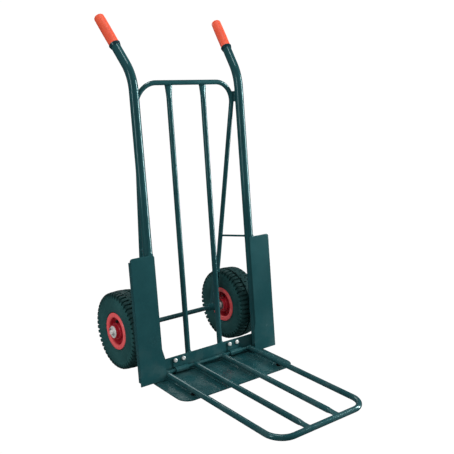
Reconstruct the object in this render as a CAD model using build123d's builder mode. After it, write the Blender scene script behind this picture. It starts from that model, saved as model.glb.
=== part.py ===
from build123d import *
import math
import os

os.makedirs("parts", exist_ok=True)

# Hand truck with pneumatic wheels and a folding tubular toe extension.
# Millimetres, +Z up. X runs along the axle, the load side faces -Y, the handles point back to +Y.
# The origin is the middle of the toe plate's underside, on the floor. "left" is the -X side.

# main frame
lean_deg = 7.2            # backward lean of the two uprights
upright_x = 206.0         # upright axis from the middle plane
upright_foot_y = 89.5     # upright axis where it would meet the floor
upright_r = 15.0
upright_wall = 2.0
bend_height = 955.0       # height of the corner between upright and handle
bend_radius = 150.0
handle_run = (24.0, 154.0, 175.5)   # outward, backward and upward run from the corner to the tip
tube_end_gap = 4.0        # the tube stops this far short of the grip's end
grip_length = 112.0
grip_r = 17.0
grip_cap = 2.0
grip_end_radius = 6.0
collar_length = 9.0
collar_r = 18.5
collar_taper = 2.1        # the collar's lower end is this much slimmer

# back frame: an inverted U with two load bars
top_bar_drop = 23.0       # top bar below the handles' corner
top_bar_setback = 11.56   # top bar behind the uprights' axes
frame_tube_r = 8.0
frame_tube_wall = 1.5
frame_side_gap = 13.6     # between an upright's axis and the frame's corner
frame_corner_radius = 70.0
leg_foot_inset = 55.6     # leg's foot from the upright's axis, towards the middle
leg_end_above_axle = 17.0
load_bar_x = 67.0
load_bar_r = 9.0
load_bar_wall = 1.5
load_bar_top_flat = (29.0, 7.0)
load_bar_flat_length = 44.0
bar_foot_z = 10.0
flat_shoulder_share = 0.55    # where along its flattened end a tube is already nearly flat
shoulder_ease = (2.5, 1.2)    # how much narrower and thicker it still is there
stay_r = 3.5
stay_front_z = 409.0
stay_rear_z = 396.0
lug_height = 34.0
lug_below_bar = 48.0
lug_thickness = 4.0

# toe plate and side plates
toe_beyond_upright = 23.0
toe_front_y = -85.0
toe_thickness = 4.0
toe_corner_radius = 38.0
flange_top_z = 57.0
flange_bend_radius = 5.0
plate_reach_out = 75.5    # side plate's outer edge from the upright's axis
plate_reach_in = 12.5
plate_lug_reach_in = 19.5
plate_lug_h = (76.0, 103.0)   # the lug's slanted shoulder, from and to
plate_thickness = 3.0
plate_top_h = 411.0
plate_bottom_h = 6.0
plate_corner_radius = 9.0
plate_edge_radius = 2.4
plate_lip_depth = 10.0
plate_lip_margin = 12.0

# folding toe extension
pivot_z = 18.0
pivot_r = 6.0
pivot_end_inset = 1.0
running_clearance = 0.05
loop_inset = 30.5         # loop's side tubes from the uprights' axes
loop_front_y = -442.0
loop_tube_r = 9.0
loop_tube_wall = 1.5
loop_corner_radius = 56.0
slat_x = 57.8
slat_flat = (26.0, 7.0)
slat_flat_length = 36.0
knuckle_r = 10.0
knuckle_gap = 0.31        # between the knuckle and the flange
bracket_x = 113.3
bracket_width = 50.0
bracket_plate = 3.0
bracket_top_margin = 1.0
bracket_corner_radius = 5.0
bolt_spacing = 32.0
bolt_z = 47.5
bolt_r = 4.0
bolt_hole_clearance = 0.2
bolt_head_r = 6.8
bolt_head_height = 4.6
bolt_head_edge = 3.0
bolt_tail = 9.0           # beyond the flange's back
nut_r = 7.4
nut_height = 6.5
rest_pad_y = -58.0
rest_pad_r = 8.0
rest_pad_gap = 0.3
rest_pad_edge = 1.0

# axle and wheels
axle_r = 8.0
axle_beyond_wheel = 57.0
axle_end_chamfer = 1.2
axle_bracket_thickness = 5.0
axle_bracket_outline = ((-8, 131), (8, 131), (29, 8), (20, -17), (-12, -17), (-20, -3))
axle_bracket_radius = 7.0
axle_slot = (90.0, 140.0)
axle_slot_h = 62.0
axle_collar_r = 12.5
axle_collar_length = 30.0
axle_collar_chamfer = 1.5
collar_seat = 4.0         # collar and spacer start this far from the bracket's middle
spacer_wall = 3.5
wheel_beyond_leg = 71.6   # wheel's middle from the leg's foot
tyre_r = 130.0
tyre_gap = 9.85           # between a tyre and the upright in front of it
tyre_half_width = 42.5
tyre_bead_half_width = 35.5
tyre_bead_gap = 0.6
tyre_shoulder = (34.0, 9.0)       # half width, and depth below the tread
tyre_cavity = (27.5, 34.5, 26.0)  # half widths at the bead, the side and the shoulder
tyre_crown_wall = 10.0
tyre_shoulder_wall = 17.0
groove_x = 11.0
groove_width = 4.0
tread_count = 48
tread_depth = 6.0
tread_notch = (6.4, 26.0)
tread_notch_x = 31.0
inner_tube_wall = 2.0
inner_tube_gaps = (6.0, 14.0, 15.5)   # from the barrel, the tread and the side
rim_flange_r = 62.0
rim_half_width = 40.0
rim_lip = 3.0
barrel_r = 50.0
barrel_wall = 4.0
rim_web_in = 9.0
rim_web_out = 14.0
rim_hub_wall = 4.0
rib_count = 8
rib_start = 22.5
rib_depth = 9.0
rib_width = 3.6
rib_overlap = 2.0         # a rib runs this much into the hub ring and the dish, both ends together
rim_bolt_circle_r = 33.0
rim_bolt_count = 4
rim_bolt_start = 45.0
rim_bolt_r = 3.0
rim_bolt_clearance = 0.1
rim_bolt_head_r = 5.7
rim_bolt_head_height = 4.0
rim_nut_height = 5.0
hub_r = 22.0
hub_half_length = 46.0
bearing_r = 17.5
bearing_width = 11.0
bearing_seat_depth = 1.0
bearing_ring = 2.5
bearing_inner_r = 12.0
washer_r = 20.0
washer_thickness = 2.5
washer_chamfer = 0.5
side_gap = 0.4
split_pin_r = 1.9
split_pin_clearance = 0.1
split_pin_length = 26.0
pin_head_r = 3.4
pin_gap = 0.3
pin_head_above_axle = 6.5
pin_turn = (-60, 0, 0)   # the pin leans back from upright, about the axle
valve_offset = 20.3
valve_r = 4.7
valve_hole_clearance = 0.3
valve_bend_h = (35.0, 33.0)   # valve's bend and tip above the axle
valve_reach = 16.0
valve_bend_radius = 6.0
valve_foot_height = 1.0

lean = math.radians(lean_deg)
rise = math.tan(lean)
upright_dir = Vector(0, math.sin(lean), math.cos(lean))
forward_dir = Vector(0, -math.cos(lean), math.sin(lean))
foot = Vector(0, upright_foot_y, 0)

# places that follow from the sizes above
top_bar_z = bend_height - top_bar_drop
top_bar_y = upright_foot_y + rise * top_bar_z + top_bar_setback
frame_half_width = upright_x - frame_side_gap
leg_foot_x = upright_x - leg_foot_inset
lug_mid_z = top_bar_z - lug_below_bar
toe_half_width = upright_x + toe_beyond_upright
plate_outer_x = upright_x + plate_reach_out
plate_inner_x = upright_x - plate_reach_in
plate_lug_x = upright_x - plate_lug_reach_in
loop_half_width = upright_x - loop_inset
axle_z = tyre_r
axle_y = upright_foot_y + rise * axle_z + (upright_r + tyre_gap + tyre_r) / math.cos(lean)
wheel_x = leg_foot_x + wheel_beyond_leg
axle_half_length = wheel_x + axle_beyond_wheel
flange_front_n = -upright_r
flange_back_n = flange_front_n - toe_thickness
flange_front_at_floor = upright_foot_y - flange_front_n / math.cos(lean)
flange_back_at_floor = upright_foot_y - flange_back_n / math.cos(lean)
pivot_y = flange_front_at_floor + rise * pivot_z - (knuckle_r + knuckle_gap) / math.cos(lean)

# Leaning plane of the uprights: local x is X, local y climbs with the uprights, local z points forward.
front_plane = Plane(origin=foot, x_dir=(1, 0, 0), z_dir=forward_dir)

# Leaning plane of the back frame, with its origin in the middle of the top bar.
top_mid = Vector(0, top_bar_y, top_bar_z)
frame_up = Vector(0, top_bar_y - axle_y, top_bar_z - axle_z)
frame_drop = frame_up.length
frame_plane = Plane(origin=top_mid, x_dir=(1, 0, 0), z_dir=Vector(1, 0, 0).cross(frame_up))


def on_upright(side, z):
    """Point of an upright's axis at height z."""
    return Vector(side * upright_x, upright_foot_y + z * math.tan(lean), z)


def on_leg(side, z):
    """Point of a back-frame leg's axis at height z."""
    share = (top_bar_z - z) / (top_bar_z - axle_z)
    x = frame_half_width + (leg_foot_x - frame_half_width) * share
    return Vector(side * x, top_bar_y + (axle_y - top_bar_y) * share, z)


def finish(builder, name):
    """Label a finished piece and write it to its own file."""
    builder.part.label = name
    export_step(builder.part, "parts/" + name + ".step")


# ---------------------------------------------------------------- toe plate with its upturned flange
with BuildPart() as toe_plate:
    with BuildSketch(Plane.YZ) as section:
        with BuildLine():
            Polyline(
                (toe_front_y, 0),
                (flange_back_at_floor, 0),
                (flange_back_at_floor + rise * flange_top_z, flange_top_z),
                (flange_front_at_floor + rise * flange_top_z, flange_top_z),
                (flange_front_at_floor + rise * toe_thickness, toe_thickness),
                (toe_front_y, toe_thickness),
                close=True,
            )
        make_face()
        bend_points = section.vertices().filter_by_position(Axis.Y, -1, toe_thickness + 0.1)
        bend_points = bend_points.sort_by(Axis.X)[-2:].sort_by(Axis.Y)
        fillet(bend_points[1], flange_bend_radius)
        bend_points = section.vertices().filter_by_position(Axis.Y, -1, 0.1).sort_by(Axis.X)
        fillet(bend_points[-1], flange_bend_radius + toe_thickness)
    extrude(amount=toe_half_width, both=True)
    front_corners = toe_plate.edges().filter_by(Axis.Z).group_by(Axis.Y)[0]
    fillet(front_corners, toe_corner_radius)
    with Locations(
        *[
            front_plane.location
            * Location((side * (bracket_x + half * bolt_spacing / 2), bolt_z / math.cos(lean), flange_front_n))
            for side in (-1, 1)
            for half in (-1, 1)
        ]
    ):
        Cylinder(bolt_r + bolt_hole_clearance, 4 * toe_thickness, mode=Mode.SUBTRACT)
finish(toe_plate, "toe_plate")

# ---------------------------------------------------------------- uprights, grips and side plates
upright_start_z = -6.0
handle_vector_length = Vector(*handle_run).length

for side, name in ((-1, "left"), (1, "right")):
    corner = on_upright(side, bend_height)
    start = on_upright(side, upright_start_z)
    tip = corner + Vector(side * handle_run[0], handle_run[1], handle_run[2])
    rise_dir = (corner - start).normalized()
    handle_dir = (tip - corner).normalized()
    bend_plane = Plane(origin=corner, x_dir=rise_dir, z_dir=rise_dir.cross(handle_dir))
    turn = math.radians(rise_dir.get_angle(handle_dir))
    tube_reach = handle_vector_length - tube_end_gap
    tube_end = (tube_reach * math.cos(turn), tube_reach * math.sin(turn))

    if side < 0:
        with BuildPart() as upright:
            with BuildLine(bend_plane) as upright_path:
                FilletPolyline((-(corner - start).length, 0), (0, 0), tube_end, radius=bend_radius)
            with BuildSketch(Plane(origin=start, x_dir=(1, 0, 0), z_dir=rise_dir)):
                Circle(upright_r)
                Circle(upright_r - upright_wall, mode=Mode.SUBTRACT)
            sweep(path=upright_path.line)
            split(bisect_by=Plane.XY.offset(toe_thickness), keep=Keep.TOP)
            add(toe_plate.part, mode=Mode.SUBTRACT)
        left_upright = upright.part
    else:
        with BuildPart() as upright:
            mirror(left_upright, about=Plane.YZ)
    finish(upright, name + "_upright_tube")

    grip_plane = Plane(origin=tip, x_dir=(1, 0, 0), z_dir=handle_dir)
    with BuildPart() as grip:
        with BuildSketch(grip_plane.offset(-grip_length)):
            Circle(grip_r)
        extrude(amount=grip_length + grip_cap)
        fillet(grip.edges().group_by(Axis((0, 0, 0), handle_dir))[-1], grip_end_radius)
        with BuildSketch(grip_plane.offset(-grip_length)):
            Circle(upright_r)
        extrude(amount=grip_length - tube_end_gap, mode=Mode.SUBTRACT)
    finish(grip, name + "_grip")

    with BuildPart() as collar:
        with BuildSketch(grip_plane.offset(-grip_length - collar_length)):
            Circle(collar_r - collar_taper)
            Circle(upright_r, mode=Mode.SUBTRACT)
        with BuildSketch(grip_plane.offset(-grip_length)):
            Circle(collar_r)
            Circle(upright_r, mode=Mode.SUBTRACT)
        loft()
    finish(collar, name + "_grip_collar")

    with BuildPart() as side_plate:
        with BuildSketch(front_plane.offset(upright_r)) as plate_outline:
            with BuildLine():
                Polyline(
                    (side * plate_outer_x, plate_bottom_h),
                    (side * plate_outer_x, plate_top_h),
                    (side * plate_inner_x, plate_top_h),
                    (side * plate_inner_x, plate_lug_h[1]),
                    (side * plate_lug_x, plate_lug_h[0]),
                    (side * plate_lug_x, plate_bottom_h),
                    close=True,
                )
            make_face()
            fillet(plate_outline.vertices().sort_by(Axis.Y)[-2:], plate_corner_radius)
        extrude(amount=plate_thickness)
        with BuildSketch(front_plane.offset(upright_r - plate_lip_depth)):
            with Locations((side * (plate_outer_x - plate_thickness / 2), (plate_top_h + plate_bottom_h) / 2)):
                Rectangle(plate_thickness, plate_top_h - plate_bottom_h - 2 * plate_lip_margin)
        extrude(amount=plate_lip_depth)
        up_edges = side_plate.edges().filter_by(Axis(foot, upright_dir))
        outer_front_edge = up_edges.group_by(Axis((0, 0, 0), (side, 0, 0)))[-1]
        fillet(outer_front_edge.sort_by(Axis((0, 0, 0), forward_dir))[-1], plate_edge_radius)
    finish(side_plate, name + "_side_plate")

# ---------------------------------------------------------------- back frame: inverted U tube
leg_stop = frame_drop * (1 - leg_end_above_axle / (top_bar_z - axle_z))
leg_stop_x = frame_half_width + (leg_foot_x - frame_half_width) * leg_stop / frame_drop

with BuildPart() as back_frame:
    with BuildLine(frame_plane) as frame_path:
        FilletPolyline(
            (-leg_stop_x, -leg_stop),
            (-frame_half_width, 0),
            (frame_half_width, 0),
            (leg_stop_x, -leg_stop),
            radius=frame_corner_radius,
        )
    with BuildSketch(Plane(origin=frame_path.wires()[0] @ 0, x_dir=(0, 1, 0), z_dir=frame_path.wires()[0] % 0)):
        Circle(frame_tube_r)
        Circle(frame_tube_r - frame_tube_wall, mode=Mode.SUBTRACT)
    sweep(path=frame_path.line)
    for side in (-1, 1):
        leg_dir = on_leg(side, top_bar_z) - on_leg(side, axle_z)
        slot_plane = Plane(origin=on_leg(side, axle_z), x_dir=(0, 1, 0), z_dir=Vector(0, 1, 0).cross(leg_dir))
        with BuildSketch(slot_plane.offset(-axle_bracket_thickness / 2)):
            with Locations((0, axle_slot_h)):
                Rectangle(*axle_slot)
        extrude(amount=axle_bracket_thickness, mode=Mode.SUBTRACT)
finish(back_frame, "back_frame_tube")

# ---------------------------------------------------------------- load bars
bar_lean_top = Vector(0, top_bar_y, top_bar_z - frame_tube_r - load_bar_flat_length)
bar_bottom_y = upright_foot_y + rise * flange_top_z + (upright_r + toe_thickness + load_bar_r) / math.cos(lean)
bar_bottom = Vector(0, bar_bottom_y, flange_top_z)
bar_dir = (bar_lean_top - bar_bottom).normalized()

for side, name in ((-1, "left"), (1, "right")):
    shift = Vector(side * load_bar_x, 0, 0)
    bar_start = bar_bottom + shift - bar_dir * ((flange_top_z - bar_foot_z) / bar_dir.Z)
    bar_shoulder = bar_lean_top + shift
    bar_plane = Plane(origin=bar_start, x_dir=(1, 0, 0), z_dir=bar_dir)
    shoulder_plane = Plane(origin=bar_shoulder, x_dir=(1, 0, 0), z_dir=bar_dir)
    with BuildPart() as load_bar:
        with BuildSketch(bar_plane):
            Circle(load_bar_r)
            Circle(load_bar_r - load_bar_wall, mode=Mode.SUBTRACT)
        extrude(amount=(bar_shoulder - bar_start).length)
        with BuildSketch(shoulder_plane):
            Circle(load_bar_r)
        with BuildSketch(shoulder_plane.offset(load_bar_flat_length * flat_shoulder_share)):
            Ellipse(load_bar_top_flat[0] / 2 - shoulder_ease[0], load_bar_top_flat[1] / 2 + shoulder_ease[1])
        with BuildSketch(shoulder_plane.offset(load_bar_flat_length)):
            Ellipse(load_bar_top_flat[0] / 2, load_bar_top_flat[1] / 2)
        loft()
        with Locations(Plane(origin=(0, top_bar_y, top_bar_z), z_dir=(1, 0, 0)).location):
            Cylinder(frame_tube_r, 4 * load_bar_x, mode=Mode.SUBTRACT)
        with BuildSketch(front_plane.offset(flange_front_n)):
            Rectangle(4 * load_bar_x, 2 * flange_top_z / math.cos(lean))
        extrude(amount=-toe_thickness, mode=Mode.SUBTRACT)
    finish(load_bar, name + "_load_bar")

# ---------------------------------------------------------------- stay rods and weld lugs
for side, name in ((-1, "left"), (1, "right")):
    stay_front = on_upright(side, stay_front_z)
    stay_rear = on_leg(side, stay_rear_z)
    with BuildPart() as stay_rod:
        with BuildSketch(Plane(origin=stay_front, z_dir=stay_rear - stay_front)):
            Circle(stay_r)
        extrude(amount=(stay_rear - stay_front).length)
        with BuildSketch(Plane(origin=stay_front, z_dir=upright_dir)):
            Circle(upright_r)
        extrude(amount=4 * upright_r, both=True, mode=Mode.SUBTRACT)
        with BuildSketch(Plane(origin=stay_rear, z_dir=on_leg(side, top_bar_z) - stay_rear)):
            Circle(frame_tube_r)
        extrude(amount=4 * frame_tube_r, both=True, mode=Mode.SUBTRACT)
    finish(stay_rod, name + "_stay_rod")

    lug_front = on_upright(side, lug_mid_z)
    lug_rear = on_leg(side, lug_mid_z)
    lug_plane = Plane(
        origin=(lug_front + lug_rear) / 2,
        x_dir=lug_rear - lug_front,
        z_dir=(lug_rear - lug_front).cross(Vector(0, 0, 1)),
    )
    with BuildPart() as weld_lug:
        with BuildSketch(lug_plane.offset(-lug_thickness / 2)):
            Rectangle((lug_rear - lug_front).length, lug_height)
        extrude(amount=lug_thickness)
        with BuildSketch(Plane(origin=lug_front, z_dir=upright_dir)):
            Circle(upright_r)
        extrude(amount=2 * lug_height, both=True, mode=Mode.SUBTRACT)
        with BuildLine(frame_plane) as lug_cut_path:
            FilletPolyline(
                (side * leg_stop_x, -leg_stop),
                (side * frame_half_width, 0),
                (0, 0),
                radius=frame_corner_radius,
            )
        cut_wire = lug_cut_path.wires()[0]
        with BuildSketch(Plane(origin=cut_wire @ 0, x_dir=(0, 1, 0), z_dir=cut_wire % 0)):
            Circle(frame_tube_r)
        sweep(path=lug_cut_path.line, mode=Mode.SUBTRACT)
    finish(weld_lug, name + "_weld_lug")

# ---------------------------------------------------------------- axle, its brackets and collars
pin_x = wheel_x + hub_half_length + side_gap + washer_thickness + pin_head_r + pin_gap
with BuildPart() as axle:
    with BuildSketch(Plane.YZ.offset(-axle_half_length)):
        with Locations((axle_y, axle_z)):
            Circle(axle_r)
    extrude(amount=2 * axle_half_length)
    chamfer(axle.edges().group_by(Axis.X)[0] + axle.edges().group_by(Axis.X)[-1], axle_end_chamfer)
    with Locations(*[Location((side * pin_x, axle_y, axle_z), pin_turn) for side in (-1, 1)]):
        Cylinder(split_pin_r + split_pin_clearance, 4 * axle_r, mode=Mode.SUBTRACT)
finish(axle, "axle")

for side, name in ((-1, "left"), (1, "right")):
    leg_dir = on_leg(side, top_bar_z) - on_leg(side, axle_z)
    bracket_plane = Plane(origin=on_leg(side, axle_z), x_dir=(0, 1, 0), z_dir=Vector(0, 1, 0).cross(leg_dir))
    with BuildPart() as axle_bracket:
        with BuildSketch(bracket_plane.offset(-axle_bracket_thickness / 2)) as bracket_outline:
            with BuildLine():
                Polyline(*axle_bracket_outline, close=True)
            make_face()
            fillet(bracket_outline.vertices().sort_by(Axis.Z)[:4], axle_bracket_radius)
        extrude(amount=axle_bracket_thickness)
        with BuildSketch(Plane.YZ.offset(side * leg_foot_x)):
            with Locations((axle_y, axle_z)):
                Circle(axle_r)
        extrude(amount=4 * axle_bracket_thickness, both=True, mode=Mode.SUBTRACT)
    finish(axle_bracket, name + "_axle_bracket")

    with BuildPart() as axle_collar:
        with BuildSketch(Plane.YZ.offset(side * (leg_foot_x - collar_seat))):
            with Locations((axle_y, axle_z)):
                Circle(axle_collar_r)
                Circle(axle_r, mode=Mode.SUBTRACT)
        extrude(amount=-side * axle_collar_length)
        end_edges = axle_collar.edges().filter_by(GeomType.CIRCLE).group_by(Axis((0, 0, 0), (-side, 0, 0)))[-1]
        chamfer(end_edges.sort_by(SortBy.RADIUS)[-1], axle_collar_chamfer)
    finish(axle_collar, name + "_axle_collar")

    spacer_end = wheel_x - hub_half_length - side_gap
    with BuildPart() as wheel_spacer:
        with BuildSketch(Plane.YZ.offset(side * (leg_foot_x + collar_seat))):
            with Locations((axle_y, axle_z)):
                Circle(axle_r + spacer_wall)
                Circle(axle_r, mode=Mode.SUBTRACT)
        extrude(amount=side * (spacer_end - leg_foot_x - collar_seat))
    finish(wheel_spacer, name + "_wheel_spacer")

# ---------------------------------------------------------------- hinge brackets, bolts, nuts and rest pads
bolt_h = bolt_z / math.cos(lean)
for side, name in ((-1, "left"), (1, "right")):
    with BuildPart() as hinge_bracket:
        with BuildSketch(front_plane.offset(flange_front_n)):
            with Locations((side * bracket_x, (pivot_z + flange_top_z) / 2 / math.cos(lean))):
                Rectangle(bracket_width, (flange_top_z - pivot_z) / math.cos(lean) - 2 * bracket_top_margin)
        extrude(amount=bracket_plate)
        with BuildSketch(Plane.YZ.offset(side * bracket_x - bracket_width / 2)):
            with Locations((pivot_y, pivot_z)):
                Circle(knuckle_r)
        extrude(amount=bracket_width)
        with BuildSketch(Plane.YZ.offset(side * bracket_x - bracket_width / 2)):
            with Locations((pivot_y, pivot_z)):
                Circle(pivot_r + running_clearance)
        extrude(amount=bracket_width, mode=Mode.SUBTRACT)
        with Locations(
            *[
                front_plane.location * Location((side * bracket_x + half * bolt_spacing / 2, bolt_h, flange_front_n))
                for half in (-1, 1)
            ]
        ):
            Cylinder(bolt_r + bolt_hole_clearance, 4 * bracket_plate, mode=Mode.SUBTRACT)
        through_edges = hinge_bracket.edges().filter_by(Axis(foot, forward_dir))
        fillet(through_edges.group_by(Axis((0, 0, 0), upright_dir))[-1], bracket_corner_radius)
    finish(hinge_bracket, name + "_hinge_bracket")

bolt_spots = [
    (side * bracket_x + half * bolt_spacing / 2, bolt_h) for side in (-1, 1) for half in (-1, 1)
]
bolt_head_n = flange_front_n + bracket_plate
with BuildPart() as hinge_bolts:
    with BuildSketch(front_plane.offset(bolt_head_n)):
        with Locations(*bolt_spots):
            Circle(bolt_head_r)
    extrude(amount=bolt_head_height)
    fillet(hinge_bolts.edges().group_by(Axis((0, 0, 0), forward_dir))[-1], bolt_head_edge)
    with BuildSketch(front_plane.offset(bolt_head_n)):
        with Locations(*bolt_spots):
            Circle(bolt_r)
    extrude(amount=-(bracket_plate + toe_thickness + bolt_tail))
finish(hinge_bolts, "hinge_bolts")

with BuildPart() as hinge_nuts:
    with BuildSketch(front_plane.offset(flange_back_n)):
        with Locations(*bolt_spots):
            RegularPolygon(nut_r, 6)
            Circle(bolt_r, mode=Mode.SUBTRACT)
    extrude(amount=-nut_height)
finish(hinge_nuts, "hinge_nuts")

with BuildPart() as rest_pads:
    with BuildSketch(Plane.XY.offset(toe_thickness)):
        with Locations((-loop_half_width, rest_pad_y), (loop_half_width, rest_pad_y)):
            Circle(rest_pad_r)
    extrude(amount=pivot_z - loop_tube_r - rest_pad_gap - toe_thickness)
    fillet(rest_pads.edges().group_by(Axis.Z)[-1], rest_pad_edge)
finish(rest_pads, "rest_pads")

# ---------------------------------------------------------------- folding toe extension
with BuildPart() as pivot_rod:
    with BuildSketch(Plane.YZ.offset(-loop_half_width - loop_tube_r + pivot_end_inset)):
        with Locations((pivot_y, pivot_z)):
            Circle(pivot_r)
    extrude(amount=2 * (loop_half_width + loop_tube_r - pivot_end_inset))
    chamfer(pivot_rod.edges().group_by(Axis.X)[0] + pivot_rod.edges().group_by(Axis.X)[-1], washer_chamfer)
finish(pivot_rod, "extension_pivot_rod")

with BuildPart() as loop_tube:
    with BuildLine(Plane.XY.offset(pivot_z)) as loop_path:
        FilletPolyline(
            (-loop_half_width, pivot_y),
            (-loop_half_width, loop_front_y),
            (loop_half_width, loop_front_y),
            (loop_half_width, pivot_y),
            radius=loop_corner_radius,
        )
    with BuildSketch(Plane(origin=loop_path.wires()[0] @ 0, x_dir=(1, 0, 0), z_dir=loop_path.wires()[0] % 0)):
        Circle(loop_tube_r)
        Circle(loop_tube_r - loop_tube_wall, mode=Mode.SUBTRACT)
    sweep(path=loop_path.line)
    with BuildSketch(Plane.YZ.offset(-toe_half_width)):
        with Locations((pivot_y, pivot_z)):
            Circle(pivot_r)
    extrude(amount=2 * toe_half_width, mode=Mode.SUBTRACT)
finish(loop_tube, "extension_loop_tube")

slat_shoulder_y = loop_front_y + loop_tube_r + slat_flat_length
for side, name in ((-1, "left"), (1, "right")):
    with BuildPart() as slat:
        with BuildSketch(Plane(origin=(side * slat_x, pivot_y, pivot_z), x_dir=(1, 0, 0), z_dir=(0, -1, 0))):
            Circle(loop_tube_r)
            Circle(loop_tube_r - loop_tube_wall, mode=Mode.SUBTRACT)
        extrude(amount=pivot_y - slat_shoulder_y)
        flat_plane = Plane(origin=(side * slat_x, slat_shoulder_y, pivot_z), x_dir=(1, 0, 0), z_dir=(0, -1, 0))
        with BuildSketch(flat_plane):
            Circle(loop_tube_r)
        with BuildSketch(flat_plane.offset(slat_flat_length * flat_shoulder_share)):
            Ellipse(slat_flat[0] / 2 - shoulder_ease[0], slat_flat[1] / 2 + shoulder_ease[1])
        with BuildSketch(flat_plane.offset(slat_flat_length + 2.0)):
            Ellipse(slat_flat[0] / 2, slat_flat[1] / 2)
        loft()
        with BuildSketch(Plane.YZ.offset(-toe_half_width)):
            with Locations((pivot_y, pivot_z)):
                Circle(pivot_r)
            with Locations((loop_front_y, pivot_z)):
                Circle(loop_tube_r)
        extrude(amount=2 * toe_half_width, mode=Mode.SUBTRACT)
    finish(slat, name + "_extension_bar")

# ---------------------------------------------------------------- wheels
bead_r = rim_flange_r + tyre_bead_gap
side_r = (rim_flange_r + tyre_r) / 2
shoulder_x, shoulder_drop = tyre_shoulder
shoulder_r = tyre_r - shoulder_drop
cavity_bead_x, cavity_side_x, cavity_shoulder_x = tyre_cavity
cavity_bead_r = rim_flange_r + inner_tube_wall
cavity_shoulder_r = tyre_r - tyre_shoulder_wall
inner_tube_low = barrel_r + inner_tube_gaps[0]
inner_tube_high = tyre_r - inner_tube_gaps[1]
inner_tube_size = ((inner_tube_high - inner_tube_low) / 2, tyre_half_width - inner_tube_gaps[2])
hub_ring_r = hub_r + rim_hub_wall
dish_r = barrel_r - barrel_wall

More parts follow.
